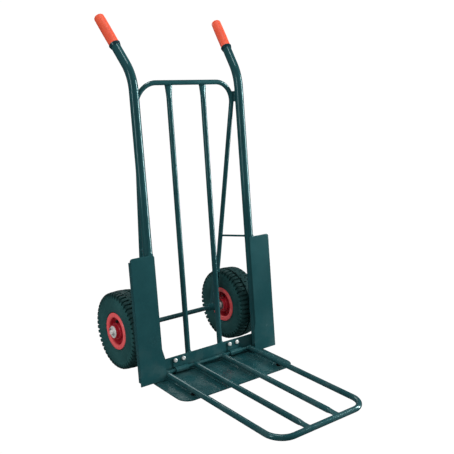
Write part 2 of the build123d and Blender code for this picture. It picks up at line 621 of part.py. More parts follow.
for side, name in ((-1, "left"), (1, "right")):
    # Local x is the radius, local y runs outwards along the axle from the wheel's middle.
    profile = Plane(origin=(side * wheel_x, axle_y, axle_z), x_dir=(0, -1, 0), z_dir=(0, 0, side))
    spin_axis = Axis((side * wheel_x, axle_y, axle_z), (1, 0, 0))
    out_plane = Plane(origin=(side * wheel_x, axle_y, axle_z), x_dir=(0, -side, 0), z_dir=(side, 0, 0))

    with BuildPart() as tyre:
        with BuildSketch(profile):
            with BuildLine():
                Polyline(
                    (barrel_r, -cavity_shoulder_x),
                    (barrel_r, -tyre_bead_half_width),
                    (bead_r, -tyre_bead_half_width),
                )
                ThreePointArc((bead_r, -tyre_bead_half_width), (side_r, -tyre_half_width), (shoulder_r, -shoulder_x))
                ThreePointArc((shoulder_r, -shoulder_x), (tyre_r, 0), (shoulder_r, shoulder_x))
                ThreePointArc((shoulder_r, shoulder_x), (side_r, tyre_half_width), (bead_r, tyre_bead_half_width))
                Polyline(
                    (bead_r, tyre_bead_half_width),
                    (barrel_r, tyre_bead_half_width),
                    (barrel_r, cavity_shoulder_x),
                    (cavity_bead_r, cavity_bead_x),
                )
                ThreePointArc(
                    (cavity_bead_r, cavity_bead_x),
                    (side_r - inner_tube_wall, cavity_side_x),
                    (cavity_shoulder_r, cavity_shoulder_x),
                )
                ThreePointArc(
                    (cavity_shoulder_r, cavity_shoulder_x),
                    (tyre_r - tyre_crown_wall, 0),
                    (cavity_shoulder_r, -cavity_shoulder_x),
                )
                ThreePointArc(
                    (cavity_shoulder_r, -cavity_shoulder_x),
                    (side_r - inner_tube_wall, -cavity_side_x),
                    (cavity_bead_r, -cavity_bead_x),
                )
                Line((cavity_bead_r, -cavity_bead_x), (barrel_r, -cavity_shoulder_x))
            make_face()
        revolve(axis=spin_axis)
        with BuildSketch(profile):
            with Locations((tyre_r, -groove_x), (tyre_r, groove_x)):
                Rectangle(1.5 * tread_depth, groove_width)
        revolve(axis=spin_axis, mode=Mode.SUBTRACT)
        with Locations(out_plane.location):
            with PolarLocations(tyre_r, tread_count):
                with Locations((0, 0, tread_notch_x), (0, 0, -tread_notch_x)):
                    Box(2 * tread_depth, *tread_notch, mode=Mode.SUBTRACT)
    finish(tyre, name + "_tyre")

    with BuildPart() as inner_tube:
        with BuildSketch(profile):
            with Locations(((inner_tube_low + inner_tube_high) / 2, 0)):
                Ellipse(*inner_tube_size)
                Ellipse(*[size - inner_tube_wall for size in inner_tube_size], mode=Mode.SUBTRACT)
        revolve(axis=spin_axis)
    finish(inner_tube, name + "_inner_tube")

    for face, half_name in ((1, "outer"), (-1, "inner")):
        with BuildPart() as rim_half:
            with BuildSketch(profile):
                with BuildLine():
                    Polyline(
                        (hub_r, 0),
                        (hub_r, face * (rim_half_width - rim_hub_wall)),
                        (hub_ring_r, face * (rim_half_width - rim_hub_wall)),
                        (hub_ring_r, face * rim_web_out),
                        (dish_r, face * rim_web_out),
                        (dish_r, face * (rim_half_width - rim_lip / 6)),
                        (rim_flange_r - rim_lip, face * rim_half_width),
                        (rim_flange_r, face * (rim_half_width - rim_lip / 2)),
                        (rim_flange_r, face * tyre_bead_half_width),
                        (barrel_r, face * tyre_bead_half_width),
                        (barrel_r, 0),
                        (dish_r, 0),
                        (dish_r, face * rim_web_in),
                        (hub_ring_r, face * rim_web_in),
                        (hub_ring_r, 0),
                        close=True,
                    )
                make_face()
            revolve(axis=spin_axis)
            rib_plane = out_plane.offset(face * rim_web_out)
            with BuildSketch(rib_plane):
                with PolarLocations((hub_ring_r + dish_r) / 2, rib_count, start_angle=rib_start):
                    Rectangle(dish_r - hub_ring_r + rib_overlap, rib_width)
            extrude(amount=face * rib_depth)
            with BuildSketch(out_plane):
                with PolarLocations(rim_bolt_circle_r, rim_bolt_count, start_angle=rim_bolt_start):
                    Circle(rim_bolt_r + rim_bolt_clearance)
            extrude(amount=face * (rim_web_out + rib_depth), mode=Mode.SUBTRACT)
            if face > 0:
                with BuildSketch(Plane(origin=(side * (wheel_x + valve_offset), axle_y, axle_z))):
                    Circle(valve_r + valve_hole_clearance)
                extrude(amount=barrel_r + tyre_bead_gap, mode=Mode.SUBTRACT)
        finish(rim_half, name + "_rim_" + half_name + "_half")

    with BuildPart() as rim_bolts:
        with BuildSketch(out_plane.offset(rim_web_out)):
            with PolarLocations(rim_bolt_circle_r, rim_bolt_count, start_angle=rim_bolt_start):
                RegularPolygon(rim_bolt_head_r, 6)
        extrude(amount=rim_bolt_head_height)
        with BuildSketch(out_plane.offset(-rim_web_out)):
            with PolarLocations(rim_bolt_circle_r, rim_bolt_count, start_angle=rim_bolt_start):
                RegularPolygon(rim_bolt_head_r, 6)
        extrude(amount=-rim_nut_height)
        with BuildSketch(out_plane.offset(-rim_web_out)):
            with PolarLocations(rim_bolt_circle_r, rim_bolt_count, start_angle=rim_bolt_start):
                Circle(rim_bolt_r)
        extrude(amount=2 * rim_web_out)
    finish(rim_bolts, name + "_rim_bolts")

    with BuildPart() as hub_tube:
        with BuildSketch(out_plane.offset(-hub_half_length)):
            Circle(hub_r)
            Circle(bearing_r - bearing_ring, mode=Mode.SUBTRACT)
        extrude(amount=2 * hub_half_length)
        for end in (-1, 1):
            with BuildSketch(out_plane.offset(end * hub_half_length)):
                Circle(bearing_r)
            extrude(amount=-end * (bearing_width + bearing_seat_depth), mode=Mode.SUBTRACT)
    finish(hub_tube, name + "_hub_tube")

    for end, end_name in ((1, "outer"), (-1, "inner")):
        with BuildPart() as bearing:
            with BuildSketch(out_plane.offset(end * (hub_half_length - bearing_seat_depth))):
                Circle(bearing_r)
                Circle(axle_r + running_clearance, mode=Mode.SUBTRACT)
            extrude(amount=-end * bearing_width)
            with BuildSketch(out_plane.offset(end * (hub_half_length - bearing_seat_depth))):
                Circle(bearing_r - bearing_ring)
                Circle(bearing_inner_r, mode=Mode.SUBTRACT)
            extrude(amount=-end * bearing_seat_depth, mode=Mode.SUBTRACT)
        finish(bearing, name + "_" + end_name + "_bearing")

    with BuildPart() as valve_stem:
        valve_x = side * (wheel_x + valve_offset)
        with BuildLine(Plane.XZ.offset(-axle_y)) as valve_path:
            FilletPolyline(
                (valve_x, axle_z + barrel_r + valve_foot_height),
                (valve_x, axle_z + valve_bend_h[0]),
                (valve_x + side * valve_reach, axle_z + valve_bend_h[1]),
                radius=valve_bend_radius,
            )
        with BuildSketch(Plane(origin=valve_path.wires()[0] @ 0, z_dir=valve_path.wires()[0] % 0)):
            Circle(valve_r)
        sweep(path=valve_path.line)
    finish(valve_stem, name + "_valve_stem")

    with BuildPart() as washer:
        with BuildSketch(out_plane.offset(hub_half_length + side_gap)):
            Circle(washer_r)
            Circle(axle_r, mode=Mode.SUBTRACT)
        extrude(amount=washer_thickness)
        chamfer(washer.edges().filter_by(GeomType.CIRCLE).sort_by(SortBy.RADIUS)[-2:], washer_chamfer)
    finish(washer, name + "_axle_washer")

    with BuildPart() as split_pin:
        with Locations(Location((side * pin_x, axle_y, axle_z), pin_turn)):
            Cylinder(split_pin_r, split_pin_length)
            with Locations((0, 0, axle_r + pin_head_above_axle)):
                Sphere(pin_head_r)
    finish(split_pin, name + "_split_pin")
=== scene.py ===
import math

import bpy
import numpy as np
from mathutils import Matrix, Vector
from mathutils.bvhtree import BVHTree


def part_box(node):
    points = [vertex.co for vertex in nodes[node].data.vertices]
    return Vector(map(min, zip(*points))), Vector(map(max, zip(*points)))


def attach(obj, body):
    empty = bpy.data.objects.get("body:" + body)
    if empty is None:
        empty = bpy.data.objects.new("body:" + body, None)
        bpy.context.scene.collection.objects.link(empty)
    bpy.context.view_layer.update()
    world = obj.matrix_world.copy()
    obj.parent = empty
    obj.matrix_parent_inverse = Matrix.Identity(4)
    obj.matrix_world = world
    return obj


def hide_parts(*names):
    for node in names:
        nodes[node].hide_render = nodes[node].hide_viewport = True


# A two-wheeled hand truck with a folding tube extension. Metres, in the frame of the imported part.

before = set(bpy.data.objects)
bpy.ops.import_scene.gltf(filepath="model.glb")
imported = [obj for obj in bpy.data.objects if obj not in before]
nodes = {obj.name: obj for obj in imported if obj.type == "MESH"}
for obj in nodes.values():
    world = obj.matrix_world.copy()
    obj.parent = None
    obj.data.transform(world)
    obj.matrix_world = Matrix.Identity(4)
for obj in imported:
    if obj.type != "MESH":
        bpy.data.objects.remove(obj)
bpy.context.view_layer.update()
SIDES = ((-1, "left"), (1, "right"))
MM = 0.001


# ---------------------------------------------------------------- camera, lights and floor
CAMERA_PLACE = Vector((-1.3412, -1.6760, 0.9914))
CAMERA_YAW = math.radians(38.6)
CAMERA_PITCH = math.radians(12.9)
CAMERA_ROLL = math.radians(0.4)


def add_camera():
    """The camera stands at the left front, nearly as high as the handles."""
    forward = Vector((
        math.sin(CAMERA_YAW) * math.cos(CAMERA_PITCH),
        math.cos(CAMERA_YAW) * math.cos(CAMERA_PITCH),
        -math.sin(CAMERA_PITCH),
    ))
    level = Vector((math.cos(CAMERA_YAW), -math.sin(CAMERA_YAW), 0))
    upward = level.cross(forward)
    right = level * math.cos(CAMERA_ROLL) + upward * math.sin(CAMERA_ROLL)
    top = upward * math.cos(CAMERA_ROLL) - level * math.sin(CAMERA_ROLL)
    turn = Matrix((right, top, -forward)).transposed().to_4x4()
    data = bpy.data.cameras.new("camera")
    data.lens = 56.02
    data.sensor_width = 36
    data.shift_x = -0.0002
    data.shift_y = -0.0033
    data.clip_end = 600
    camera = bpy.data.objects.new("camera", data)
    bpy.context.scene.collection.objects.link(camera)
    camera.matrix_world = Matrix.Translation(CAMERA_PLACE) @ turn
    bpy.context.scene.camera = camera


def add_softbox(name, place, target, size, power, colour):
    """A rectangular studio light that faces a point."""
    data = bpy.data.lights.new(name, "AREA")
    data.shape = "RECTANGLE"
    data.size = size[0]
    data.size_y = size[1]
    data.energy = power
    data.color = colour
    lamp = bpy.data.objects.new(name, data)
    bpy.context.scene.collection.objects.link(lamp)
    lamp.location = place
    lamp.rotation_euler = (Vector(target) - Vector(place)).to_track_quat("-Z", "Y").to_euler()


def by_ray(tree, kind, plain, special):
    """Mixes two shaders by the kind of ray that meets them."""
    path = tree.nodes.new("ShaderNodeLightPath")
    mix = tree.nodes.new("ShaderNodeMixShader")
    tree.links.new(path.outputs[kind], mix.inputs[0])
    tree.links.new(plain, mix.inputs[1])
    tree.links.new(special, mix.inputs[2])
    return mix.outputs[0]


def in_gloss(tree, plain, mirrored):
    """The first shader, with the second one seen in glossy surfaces."""
    return by_ray(tree, "Is Glossy Ray", plain, mirrored)


def to_camera(tree, plain, seen):
    """The first shader, with the second one seen directly."""
    return by_ray(tree, "Is Camera Ray", plain, seen)


def glow(tree, kind, colour, strength):
    """The output of a new light-giving shader."""
    made = tree.nodes.new(kind)
    made.inputs["Color"].default_value = (*colour, 1)
    made.inputs["Strength"].default_value = strength
    return made.outputs[0]


def add_surroundings():
    """A white room and floor, which give the hand truck less light than they show, and little gloss."""
    world = bpy.data.worlds.new("studio")
    world.use_nodes = True
    tree = world.node_tree
    tree.nodes.clear()
    seen = glow(tree, "ShaderNodeBackground", (1, 1, 1), 1.03)
    cast = glow(tree, "ShaderNodeBackground", (1, 1, 1), 0.62)
    dim = glow(tree, "ShaderNodeBackground", (0.8, 0.95, 1), 0.12)
    out = tree.nodes.new("ShaderNodeOutputWorld")
    tree.links.new(to_camera(tree, in_gloss(tree, cast, dim), seen), out.inputs[0])
    bpy.context.scene.world = world

    bpy.ops.mesh.primitive_plane_add(size=400, location=(0, 0, -0.0005))
    floor = bpy.context.object
    floor.name = "floor"
    paper = bpy.data.materials.new("floor_paper")
    paper.use_nodes = True
    tree = paper.node_tree
    tree.nodes.clear()
    grey = tree.nodes.new("ShaderNodeBsdfDiffuse")
    grey.inputs["Color"].default_value = (0.42, 0.42, 0.42, 1)
    dim = glow(tree, "ShaderNodeEmission", (0.8, 0.95, 1), 0.08)
    out = tree.nodes.new("ShaderNodeOutputMaterial")
    seen = glow(tree, "ShaderNodeEmission", (1, 1, 1), 1.03)
    tree.links.new(to_camera(tree, in_gloss(tree, grey.outputs[0], dim), seen), out.inputs[0])
    floor.data.materials.append(paper)

    middle = (0, 0.1, 0.5)
    add_softbox("strip_softbox", (2.8, -1.3, 1.1), middle, (0.35, 2.4), 130, (0.9, 1, 1))
    add_softbox("side_softbox", (-3.0, -0.5, 1.4), middle, (0.5, 2.0), 22, (0.95, 0.98, 1))
    add_softbox("top_softbox", (0, 0.2, 3.6), middle, (0.6, 2.4), 34, (1, 1, 1))
    add_softbox("back_softbox", (0.6, 3.2, 2.2), middle, (2.0, 1.6), 35, (1, 1, 1))
    bpy.context.scene.view_settings.view_transform = "Standard"


# ---------------------------------------------------------------- materials
class Finish:
    """A node material with short calls for the patterns that the finishes share."""

    def __init__(self, name):
        self.material = bpy.data.materials.new(name)
        self.material.use_nodes = True
        self.tree = self.material.node_tree
        self.shader = self.tree.nodes["Principled BSDF"]
        self.place = self.node("ShaderNodeTexCoord").outputs["Object"]

    def node(self, kind, **settings):
        made = self.tree.nodes.new(kind)
        for key, value in settings.items():
            setattr(made, key, value)
        return made

    def link(self, source, target):
        self.tree.links.new(source, target)

    def set(self, **values):
        """Fixed values of the shader's own sockets, with _ for a space."""
        for key, value in values.items():
            self.shader.inputs[key.replace("_", " ")].default_value = value

    def stretched(self, scale, turn=(0, 0, 0)):
        mapping = self.node("ShaderNodeMapping")
        mapping.inputs["Scale"].default_value = scale
        mapping.inputs["Rotation"].default_value = turn
        self.link(self.place, mapping.inputs["Vector"])
        return mapping.outputs[0]

    def noise(self, scale, detail=3.0, roughness=0.55, place=None):
        made = self.node("ShaderNodeTexNoise")
        made.inputs["Scale"].default_value = scale
        made.inputs["Detail"].default_value = detail
        made.inputs["Roughness"].default_value = roughness
        self.link(place or self.place, made.inputs["Vector"])
        return made.outputs["Fac"]

    def cells(self, scale):
        made = self.node("ShaderNodeTexVoronoi")
        made.inputs["Scale"].default_value = scale
        self.link(self.place, made.inputs["Vector"])
        return made.outputs["Distance"]

    def levels(self, source, low, high, out_low=0.0, out_high=1.0):
        """The source, cut to low..high and spread over out_low..out_high."""
        made = self.node("ShaderNodeMapRange")
        made.inputs["From Min"].default_value = low
        made.inputs["From Max"].default_value = high
        made.inputs["To Min"].default_value = out_low
        made.inputs["To Max"].default_value = out_high
        self.link(source, made.inputs["Value"])
        return made.outputs["Result"]

    def math(self, operation, first, second):
        made = self.node("ShaderNodeMath", operation=operation)
        for socket, value in zip(made.inputs, (first, second)):
            if isinstance(value, (int, float)):
                socket.default_value = value
            else:
                self.link(value, socket)
        return made.outputs[0]

    def along(self, axis):
        """The place along X, Y or Z; Z is the height above the floor."""
        apart = self.node("ShaderNodeSeparateXYZ")
        self.link(self.place, apart.inputs[0])
        return apart.outputs[axis]

    def from_middle(self):
        """Sideways distance from the hand truck's middle plane."""
        return self.math("ABSOLUTE", self.along("X"), 0.0)

    def from_axle(self):
        """Distance from the axle's own line, which both wheels share."""
        made = self.node("ShaderNodeVectorMath", operation="DISTANCE")
        middle = wheel_middle("left")
        made.inputs[1].default_value = (0, middle.y, middle.z)
        self.link(self.stretched((0, 1, 1)), made.inputs[0])
        return made.outputs["Value"]

    def blend(self, share, first, second):
        """A colour between two, each given as a colour or as a socket."""
        made = self.node("ShaderNodeMix", data_type="RGBA")
        self.link(share, made.inputs["Factor"])
        for socket, value in ((made.inputs[6], first), (made.inputs[7], second)):
            if isinstance(value, tuple):
                socket.default_value = (*value, 1)
            else:
                self.link(value, socket)
        return made.outputs[2]

    def bump(self, source, depth, before=None):
        made = self.node("ShaderNodeBump")
        made.inputs["Strength"].default_value = 1.0
        made.inputs["Distance"].default_value = depth
        self.link(source, made.inputs["Height"])
        if before is not None:
            self.link(before, made.inputs["Normal"])
        return made.outputs[0]

    def wear(self, colour, roughness, normal):
        self.link(colour, self.shader.inputs["Base Color"])
        self.link(roughness, self.shader.inputs["Roughness"])
        self.link(normal, self.shader.inputs["Normal"])
        return self.material


def wheel_middle(name):
    low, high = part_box(name + "_tyre")
    return (low + high) / 2


def make_enamel(name, deep, light, dust_top):
    """Gloss enamel over steel: orange peel, faint blotches, a few chips and dust near the floor."""
    f = Finish(name)
    blotch = f.levels(f.noise(5.0, 4), 0.35, 0.7)
    speckle = f.levels(f.noise(140.0, 2), 0.3, 0.75)
    paint = f.blend(blotch, deep, light)
    paint = f.blend(f.math("MULTIPLY", speckle, 0.22), paint, light)
    scratch = f.noise(60.0, 2, place=f.stretched((9, 1.2, 0.5), (0.2, 0.5, 0.9)))
    scratch = f.levels(scratch, 0.735, 0.76)
    low = f.levels(f.along("Z"), 0.0, dust_top, 1.0, 0.0)
    scuffed = f.math("MULTIPLY", scratch, f.math("MULTIPLY", low, 0.5))
    paint = f.blend(scuffed, paint, (0.16, 0.23, 0.23))
    dust = f.math("MULTIPLY", f.levels(f.noise(22.0, 5), 0.45, 0.8), f.math("MULTIPLY", low, 0.25))
    paint = f.blend(dust, paint, (0.14, 0.17, 0.16))
    rough = f.math("ADD", f.levels(f.noise(9.0, 3), 0.3, 0.7, 0.16, 0.28), f.math("MULTIPLY", dust, 0.6))
    peel = f.bump(f.noise(420.0, 2), 0.00012)
    drips = f.bump(f.noise(45.0, 2), 0.0004, peel)
    f.set(Coat_Weight=0.35, Coat_Roughness=0.06, Specular_IOR_Level=0.35)
    f.set(Specular_Tint=(0.45, 0.95, 0.97, 1))
    return f.wear(paint, rough, drips)


def make_grip_vinyl():
    """Dipped orange-red vinyl with a fine pebbled grain and slightly greyer palms."""
    f = Finish("grip_vinyl")
    tone = f.levels(f.noise(30.0, 4), 0.3, 0.72)
    colour = f.blend(tone, (0.78, 0.080, 0.032), (0.88, 0.112, 0.046))
    soiled = f.levels(f.noise(11.0, 5), 0.56, 0.8, 0.0, 0.35)
    colour = f.blend(soiled, colour, (0.40, 0.040, 0.030))
    rough = f.levels(f.noise(40.0, 3), 0.3, 0.7, 0.42, 0.56)
    grain = f.bump(f.cells(950.0), 0.00022)
    f.set(Specular_IOR_Level=0.35, Subsurface_Weight=0.06, Subsurface_Scale=0.002)
    return f.wear(colour, rough, f.bump(f.noise(70.0, 2), 0.0005, grain))


def make_zinc(name, dull, bright):
    """Zinc plate, with a faint spangle and rubbed marks."""
    f = Finish(name)
    spangle = f.cells(260.0)
    tone = f.levels(f.noise(55.0, 4), 0.3, 0.7)
    colour = f.blend(tone, dull, bright)
    colour = f.blend(f.levels(f.noise(190.0, 3), 0.6, 0.75, 0.0, 0.5), colour, (0.42, 0.40, 0.36))
    rough = f.levels(spangle, 0.0, 0.6, 0.2, 0.36)
    f.set(Metallic=0.3)
    return f.wear(colour, rough, f.bump(f.noise(500.0, 3), 0.00006))


def make_ground_steel():
    """Turned and ground steel with a light film of grease."""
    f = Finish("ground_steel")
    rings = f.noise(300.0, 2, place=f.stretched((6, 1, 1)))
    colour = f.blend(f.levels(rings, 0.3, 0.7), (0.22, 0.22, 0.23), (0.42, 0.42, 0.43))
    colour = f.blend(f.levels(f.noise(40.0, 4), 0.5, 0.75, 0.0, 0.6), colour, (0.07, 0.05, 0.035))
    f.set(Metallic=0.85)
    return f.wear(colour, f.levels(rings, 0.3, 0.7, 0.24, 0.4), f.bump(rings, 0.00004))


def make_tyre_rubber(name, deep, light, dusty):
    """Moulded rubber: fine grain, matt, with dust where it has rolled, and painted shade darkening the
    band near the tread.
    """
    f = Finish(name)
    tone = f.levels(f.noise(14.0, 5), 0.3, 0.72)
    colour = f.blend(tone, deep, light)
    dust = f.levels(f.noise(75.0, 6, 0.65), 0.52, 0.78, 0.0, 0.5)
    colour = f.blend(dust, colour, dusty)
    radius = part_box("left_tyre")[1].z - wheel_middle("left").z
    # Painted shade: the band from 16 mm inside the tread outwards, grooves and shoulders included, is
    # darkened towards a much darker rubber.
    tread = f.levels(f.from_axle(), radius - 16 * MM, radius - 9 * MM, 0.0, 0.72)
    colour = f.blend(tread, colour, tuple(share * 0.3 for share in deep))
    rough = f.levels(f.noise(50.0, 4), 0.3, 0.7, 0.56, 0.8)
    grain = f.bump(f.noise(900.0, 3), 0.00012)
    f.set(Specular_IOR_Level=0.15)
    return f.wear(colour, rough, f.bump(f.cells(160.0), 0.0001, grain))


def make_rim_red():
    """Gloss red of the two pressed rim halves, with painted light on the rolled lips and painted shade
    down in the dish.
    """
    f = Finish("rim_red")
    middle = abs(wheel_middle("left").x)
    low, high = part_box("left_rim_outer_half")
    lip = high.x - low.x
    tone = f.levels(f.noise(18.0, 4), 0.3, 0.7)
    # Painted shade: the dish gets a darker red for the shadow down in the dish.
    dish = f.blend(tone, (0.38, 0.013, 0.027), (0.52, 0.022, 0.040))
    # Painted light: the rolled lips get a paler red for the light they catch.
    rolled = f.blend(tone, (0.84, 0.095, 0.105), (0.92, 0.125, 0.130))
    # Share of the painted light: near the outer face of the lip and beyond 44 mm from the axle; painted
    # shade elsewhere.
    depth = f.math("ABSOLUTE", f.math("SUBTRACT", f.from_middle(), middle), 0.0)
    outward = f.levels(depth, lip - 9 * MM, lip - 3 * MM)
    outward = f.math("MULTIPLY", outward, f.levels(f.from_axle(), 40 * MM, 44 * MM))
    colour = f.blend(outward, dish, rolled)
    grime = f.levels(f.noise(60.0, 5), 0.56, 0.8, 0.0, 0.45)
    colour = f.blend(grime, colour, (0.12, 0.010, 0.014))
    rough = f.levels(f.noise(35.0, 3), 0.3, 0.7, 0.22, 0.36)
    peel = f.bump(f.noise(380.0, 2), 0.00012)
    f.set(Coat_Weight=0.5, Coat_Roughness=0.12)
    return f.wear(colour, rough, peel)


def make_axle_finish(deep, light):
    """The axle is enamelled between the wheels and bare zinc at its two ends."""
    f = Finish("axle_finish")
    washer_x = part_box("right_axle_washer")[0].x
    bare = f.levels(f.from_middle(), washer_x - 1 * MM, washer_x)
    tone = f.levels(f.noise(30.0, 4), 0.3, 0.72)
    zinc = f.blend(tone, (0.55, 0.55, 0.54), (0.78, 0.77, 0.75))
    colour = f.blend(bare, f.blend(tone, deep, light), zinc)
    rough = f.levels(f.noise(60.0, 3), 0.3, 0.7, 0.24, 0.4)
    f.set(Coat_Weight=0.15, Specular_IOR_Level=0.35)
    return f.wear(colour, rough, f.bump(f.noise(420.0, 2), 0.0001))


def paint_nodes():
    """Give every carried-over node its finish, and return the finishes by slot."""
    teal_deep = (0.0076, 0.0455, 0.0515)
    teal_light = (0.0152, 0.0705, 0.0780)
    finishes = {
        "frame_paint": make_enamel("teal_enamel", teal_deep, teal_light, 0.16),
        "dark_collar": make_enamel(
            "collar_enamel", (0.006, 0.024, 0.032), (0.010, 0.036, 0.045), 0.1
        ),
        "grip_rubber": make_grip_vinyl(),
        "zinc": make_zinc("bright_zinc", (0.66, 0.66, 0.65), (0.88, 0.87, 0.85)),
        "dull_zinc": make_zinc("dull_zinc", (0.13, 0.10, 0.10), (0.22, 0.18, 0.18)),
        "axle_finish": make_axle_finish(teal_deep, teal_light),
        "bearing_steel": make_ground_steel(),
        "tyre_rubber": make_tyre_rubber(
            "tyre_rubber", (0.0105, 0.0600, 0.0600), (0.0200, 0.0900, 0.0900), (0.032, 0.105, 0.100)
        ),
        "tube_rubber": make_tyre_rubber(
            "tube_rubber", (0.010, 0.010, 0.010), (0.018, 0.018, 0.018), (0.06, 0.06, 0.055)
        ),
        "rim_red": make_rim_red(),
        "black_rubber": make_tyre_rubber(
            "black_rubber", (0.006, 0.007, 0.007), (0.013, 0.014, 0.014), (0.05, 0.055, 0.05)
        ),
    }
    for name, node in nodes.items():
        slot = node_slot(name)
        node.data.materials.clear()
        node.data.materials.append(finishes[slot])
    return finishes


def node_slot(name):
    """The record's material slot of a CAD node."""
    for wanted, slot in (
        ("grip_collar", "dark_collar"),
        ("grip", "grip_rubber"),
        ("tyre", "tyre_rubber"),
        ("inner_tube", "tube_rubber"),
        ("rim_bolts", "dull_zinc"),
        ("rim_", "rim_red"),
        ("hub_tube", "rim_red"),
        ("bearing", "bearing_steel"),
        ("valve_stem", "black_rubber"),
        ("rest_pads", "black_rubber"),
        ("hinge_bolts", "zinc"),
        ("hinge_nuts", "zinc"),
        ("washer", "zinc"),
        ("split_pin", "bearing_steel"),
        ("wheel_spacer", "zinc"),
    ):
        if wanted in name:
            return slot
    return "axle_finish" if name == "axle" else "frame_paint"


# ---------------------------------------------------------------- modelling helpers
def deselect_all():
    if bpy.context.object is not None and bpy.context.object.mode != "OBJECT":
        bpy.ops.object.mode_set(mode="OBJECT")
    bpy.ops.object.select_all(action="DESELECT")


def pick(obj, kind, wanted):
    """Enter edit mode with only the wanted faces or edges of obj selected."""
    bpy.context.view_layer.objects.active = obj
    bpy.ops.object.mode_set(mode="EDIT")
    bpy.ops.mesh.select_mode(type=kind)
    bpy.ops.mesh.select_all(action="DESELECT")
    bpy.ops.object.mode_set(mode="OBJECT")
    for item in {"FACE": obj.data.polygons, "EDGE": obj.data.edges}[kind]:
        item.select = wanted(item)
    bpy.ops.object.mode_set(mode="EDIT")


def close_up(obj):
    """Merge doubles, turn faces outwards and leave edit mode."""
    bpy.ops.object.mode_set(mode="EDIT")
    bpy.ops.mesh.select_all(action="SELECT")
    bpy.ops.mesh.remove_doubles(threshold=0.00002)
    bpy.ops.mesh.normals_make_consistent(inside=False)
    bpy.ops.object.mode_set(mode="OBJECT")


def turned(name, outline, segments, closed):
    """A ring about the X axis, grown from a circle by extruding it along an outline of (x, radius)."""
    deselect_all()
    start_x, start_r = outline[0]
    bpy.ops.mesh.primitive_circle_add(
        vertices=segments, radius=start_r, location=(start_x, 0, 0), rotation=(0, math.pi / 2, 0)
    )
    obj = bpy.context.object
    obj.name = name
    bpy.ops.object.transform_apply(location=True, rotation=True, scale=True)
    bpy.ops.object.mode_set(mode="EDIT")
    bpy.ops.mesh.select_mode(type="VERT")
    bpy.ops.mesh.select_all(action="SELECT")
    path = outline[1:] + outline[:1] if closed else outline[1:]
    here_x, here_r = outline[0]
    for x, r in path:
        bpy.ops.mesh.extrude_region_move(TRANSFORM_OT_translate={"value": (x - here_x, 0, 0)})
        bpy.ops.transform.resize(value=(1, r / here_r, r / here_r), center_override=(0, 0, 0))
        here_x, here_r = x, r
    close_up(obj)
    return obj


def ring_of(face):
    """Radius, distance along X and angle of a face's middle."""
    c = face.center
    return math.hypot(c.y, c.z), c.x, math.atan2(c.z, c.y) % (2 * math.pi)


def arc(middle, radius, start_deg, end_deg, steps):
    """Points of a round stretch of an outline, as (x, radius)."""
    points = []
    for step in range(steps + 1):
        angle = math.radians(start_deg + (end_deg - start_deg) * step / steps)
        points.append((middle[0] + radius * math.cos(angle), middle[1] + radius * math.sin(angle)))
    return points


def bevelled(obj, width, segments=2, angle_deg=28):
    """Round the sharp edges and shade the rest smooth."""
    modifier = obj.modifiers.new("soft_edges", "BEVEL")
    modifier.width = width
    modifier.segments = segments
    modifier.limit_method = "ANGLE"
    modifier.angle_limit = math.radians(angle_deg)
    modifier.harden_normals = False
    deselect_all()
    bpy.context.view_layer.objects.active = obj
    obj.select_set(True)
    bpy.ops.object.modifier_apply(modifier=modifier.name)
    smooth(obj)


def smooth(obj, angle_deg=38):
    deselect_all()
    bpy.context.view_layer.objects.active = obj
    obj.select_set(True)
    bpy.ops.object.shade_smooth_by_angle(angle=math.radians(angle_deg))


def settle(obj, body, slot, replaced=(), place=None):
    """Apply the piece's place, give it its finish and let it ride on its body."""
    deselect_all()
    bpy.context.view_layer.objects.active = obj
    obj.select_set(True)
    if place is not None:
        obj.matrix_world = place @ obj.matrix_world
    bpy.ops.object.transform_apply(location=True, rotation=True, scale=True)
    obj.data.materials.clear()
    obj.data.materials.append(finishes[slot])
    if replaced:
        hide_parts(*replaced)
    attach(obj, body)


def copied(obj, name):
    """The same piece again, with its own mesh."""
    twin = obj.copy()
    twin.data = obj.data.copy()
    twin.name = name
    bpy.context.scene.collection.objects.link(twin)
    return twin


# ---------------------------------------------------------------- tyres
LUG_COUNT = 48
LUG_STEPS = 5
GROOVE_DEPTH = 7.2 * MM
MARK_DEPTH = 0.9 * MM


